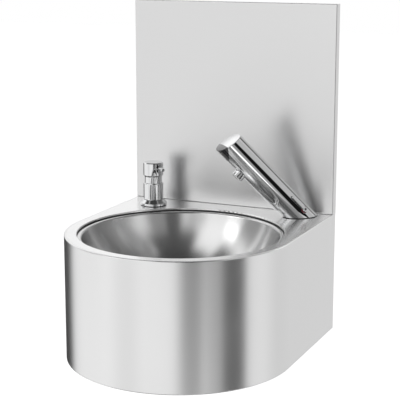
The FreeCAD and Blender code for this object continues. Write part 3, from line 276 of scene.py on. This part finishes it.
def bump(t, height, strength, depth):
    return t.add("ShaderNodeBump", {"Height": height, "Strength": strength, "Distance": depth}).outputs[0]


def brushed(name, colour, roughness, grain, tangent=None, anisotropic=0.7):
    """Brushed sheet: fine lines along the grain in roughness, colour and bump.

    Without a tangent, the grain runs round an upright axis."""
    material, t = new_material(name)
    place = t.add("ShaderNodeTexCoord").outputs["Object"]
    lines = t.noise(place, 1.0, BRUSH_DETAIL, grain)
    cloud = t.noise(place, SHEET_CLOUDS)
    tint = t.mix(lines, grey(colour * (1 - BRUSH_TINT)), grey(colour * (1 + BRUSH_TINT)))
    rough = t.calc("ADD", t.spread(lines, roughness - BRUSH_ROUGHNESS, roughness + BRUSH_ROUGHNESS),
                   t.spread(cloud, -SHEET_ROUGHNESS, SHEET_ROUGHNESS))
    if tangent is None:
        along = t.add("ShaderNodeTangent", direction_type="RADIAL", axis="Z").outputs[0]
    else:
        along = t.add("ShaderNodeCombineXYZ", dict(zip("XYZ", tangent))).outputs[0]
    finish_material(t, {
        "Base Color": tint, "Metallic": 1.0, "Roughness": rough,
        "Normal": bump(t, lines, BRUSH_RELIEF, BRUSH_DEPTH),
        "Anisotropic": anisotropic, "Anisotropic Rotation": CROSS_GRAIN, "Tangent": along})
    return material


def metal(name, colour, roughness, relief=0.01):
    """Turned or plated metal with faint cloudiness."""
    material, t = new_material(name)
    place = t.add("ShaderNodeTexCoord").outputs["Object"]
    cloud = t.noise(place, METAL_SPECKS)
    least, most = METAL_ROUGHNESS
    finish_material(t, {
        "Base Color": t.mix(cloud, darker(colour, METAL_TINT), colour), "Metallic": 1.0,
        "Roughness": t.spread(cloud, roughness * least, roughness * most),
        "Normal": bump(t, cloud, relief, SPECK_DEPTH)})
    return material


def moulded(name, colour, roughness, coat=0.0):
    """Plastic, rubber or enamel with a fine moulded texture."""
    material, t = new_material(name)
    place = t.add("ShaderNodeTexCoord").outputs["Object"]
    grain = t.noise(place, GRAIN_SPECKS, GRAIN_DETAIL)
    least, most = GRAIN_ROUGHNESS
    finish_material(t, {
        "Base Color": t.mix(grain, darker(colour, GRAIN_TINT), colour),
        "Roughness": t.spread(grain, roughness * least, roughness * most),
        "Normal": bump(t, grain, GRAIN_RELIEF, SPECK_DEPTH),
        "Coat Weight": coat})
    return material


# by the material slot's name
MATERIALS = {
    "satin_steel": brushed("satin_upright", 0.75, 0.30, (LONG, LONG, FINE)),
    "plain_steel": brushed("mill_steel", 0.55, 0.42, (LONG, FINE, LONG), (1, 0, 0), anisotropic=0.3),
    "chrome": metal("chrome_plate", (0.75, 0.755, 0.76, 1), 0.015, relief=0.002),
    "brass": metal("machined_brass", (0.78, 0.60, 0.30, 1), 0.22),
    "copper_tail": metal("drawn_copper", (0.80, 0.45, 0.30, 1), 0.20),
    "window_black": moulded("sensor_glass", (0.012, 0.012, 0.014, 1), 0.06, coat=1.0),
    "dark_plastic": moulded("dark_moulding", (0.03, 0.03, 0.032, 1), 0.42),
    "white_plastic": moulded("white_moulding", (0.74, 0.74, 0.72, 1), 0.38),
    "bottle_plastic": moulded("milky_bottle", (0.70, 0.71, 0.68, 1), 0.30),
    "mark_enamel": moulded("red_enamel", (0.12, 0.012, 0.02, 1), 0.25, coat=0.5),
    "spring_steel": metal("spring_wire", (0.62, 0.62, 0.63, 1), 0.18),
    "seal_rubber": moulded("black_rubber", (0.018, 0.018, 0.018, 1), 0.65),
}
# by the node's name, where its grain and roughness are its own; their base colours are brighter and darker
# copies of the one satin steel, with painted light on the deck and skirt and painted shade in the bowl
NODE_MATERIALS = {
    "basin_skirt": brushed("satin_skirt_painted_light", 0.79, 0.30, (LONG, LONG, FINE)),
    "basin_deck": brushed("satin_deck_painted_light", 0.90, 0.20, (LONG, FINE, FINE), (1, 0, 0)),
    "bowl": brushed("satin_bowl_painted_shade", 0.69, 0.22, (LONG, FINE, FINE)),
}


def dress():
    for name, node in NODES.items():
        for slot in node.material_slots:
            key = slot.material.name.split(".")[0]
            slot.material = NODE_MATERIALS.get(name) or MATERIALS[key]


# ---------------------------------------------------------------- details too fine for the solids

TURN_STEPS = 192

BOWL_FLANGE = 0.008                   # the bowl's rim past the deck's collar
SHADE_BEAD_PROUD = 0.0009                   # black bead in the collar's corner, painted shade, out from the collar
SHADE_BEAD_HEIGHT = 0.0023
SHADE_BEAD_OUTLINE = ((0, 0), (1, 0), (1, 0.45), (0.75, 0.75), (0, 1))    # out and up, as parts of the two

THREAD_STEPS = 48                     # in one turn
THREAD_HEIGHT = 0.0004
# across the ridge: out as a part of the height, along as a part of the pitch
THREAD_OUTLINE = ((-0.5, -0.36), (0.8, -0.12), (1.0, 0.0), (0.8, 0.12), (-0.5, 0.36))

WASTE_RADIUS = 0.02095
WASTE_PITCH = 0.00231
TRAP_THREAD = 0.042                   # length for the trap's nut
FINE_PITCH = 0.0015


def new_piece(name, form, slot):
    """Make the bmesh a piece on the sink and free it."""
    mesh = bpy.data.meshes.new(name)
    bmesh.ops.recalc_face_normals(form, faces=form.faces)
    form.to_mesh(mesh)
    form.free()
    piece = bpy.data.objects.new(name, mesh)
    bpy.context.scene.collection.objects.link(piece)
    mesh.materials.append(MATERIALS[slot])
    for face in mesh.polygons:
        face.use_smooth = True
    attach(piece, "sink")


def round_place(axis, radius, angle, height):
    return (axis[0] + radius * math.cos(angle), axis[1] + radius * math.sin(angle), height)


def turned(name, axis, profile, slot):
    """Closed ring: a profile of (radius, height) turned about an upright axis."""
    form = bmesh.new()
    rings = []
    for step in range(TURN_STEPS):
        angle = 2 * math.pi * step / TURN_STEPS
        rings.append([form.verts.new(round_place(axis, radius, angle, height))
                      for radius, height in profile])
    for step, ring in enumerate(rings):
        after = rings[(step + 1) % TURN_STEPS]
        for i in range(len(profile)):
            j = (i + 1) % len(profile)
            form.faces.new((ring[i], after[i], after[j], ring[j]))
    new_piece(name, form, slot)


def thread(name, axis, radius, bottom, top, pitch, slot):
    """Rounded helical ridge on a threaded tube, running out at both ends."""
    form = bmesh.new()
    turns = (top - bottom) / pitch - 1
    count = int(turns * THREAD_STEPS)
    rows = []
    for step in range(count + 1):
        angle = 2 * math.pi * step / THREAD_STEPS
        height = bottom + pitch / 2 + pitch * step / THREAD_STEPS
        full = min(1.0, step / THREAD_STEPS, (count - step) / THREAD_STEPS)
        rows.append([form.verts.new(round_place(axis, radius + out * full * THREAD_HEIGHT,
                                                angle, height + along * pitch))
                     for out, along in THREAD_OUTLINE])
    for row, after in zip(rows, rows[1:]):
        for i in range(len(THREAD_OUTLINE)):
            j = (i + 1) % len(THREAD_OUTLINE)
            form.faces.new((row[i], after[i], after[j], row[j]))
    form.faces.new(rows[0])
    form.faces.new(reversed(rows[-1]))
    new_piece(name, form, slot)


def span(name):
    """Upright axis, half width, bottom and top of a round node."""
    low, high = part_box(name)
    axis = ((low[0] + high[0]) / 2, (low[1] + high[1]) / 2)
    return axis, (high[0] - low[0]) / 2, low[2], high[2]


# Black bead in the corner under the deck's collar: a dark piece that paints the shade in the gap under the
# bowl's rim.
def make_rim_shade_bead():
    low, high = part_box("bowl")
    centre = ((low[0] + high[0]) / 2, (low[1] + high[1]) / 2)
    collar = (high[0] - low[0]) / 2 - BOWL_FLANGE
    ledge = high[2]
    profile = [(collar - SHADE_BEAD_PROUD * out, ledge + SHADE_BEAD_HEIGHT * up) for out, up in SHADE_BEAD_OUTLINE]
    turned("rim_shade_bead", centre, profile, "seal_rubber")


def make_threads():
    """The stretches of thread that no nut covers."""
    axis, _, bottom, _ = span("waste_body")
    thread("waste_thread", axis, WASTE_RADIUS, bottom, bottom + TRAP_THREAD, WASTE_PITCH, "chrome")
    axis, radius, bottom, _ = span("tap_shank")
    tap_nut_bottom = span("tap_nut")[2]
    thread("tap_thread", axis, radius, bottom, tap_nut_bottom, FINE_PITCH, "brass")
    axis, radius, _, _ = span("dispenser_shank")
    bottle_top = span("soap_bottle")[3]
    dispenser_nut_bottom = span("dispenser_nut")[2]
    thread("dispenser_thread", axis, radius, bottle_top, dispenser_nut_bottom, FINE_PITCH, "white_plastic")


bpy.context.scene.view_settings.view_transform = "Standard"
make_camera()
make_world()
make_floor()
make_softbox()
dress()
make_rim_shade_bead()
make_threads()
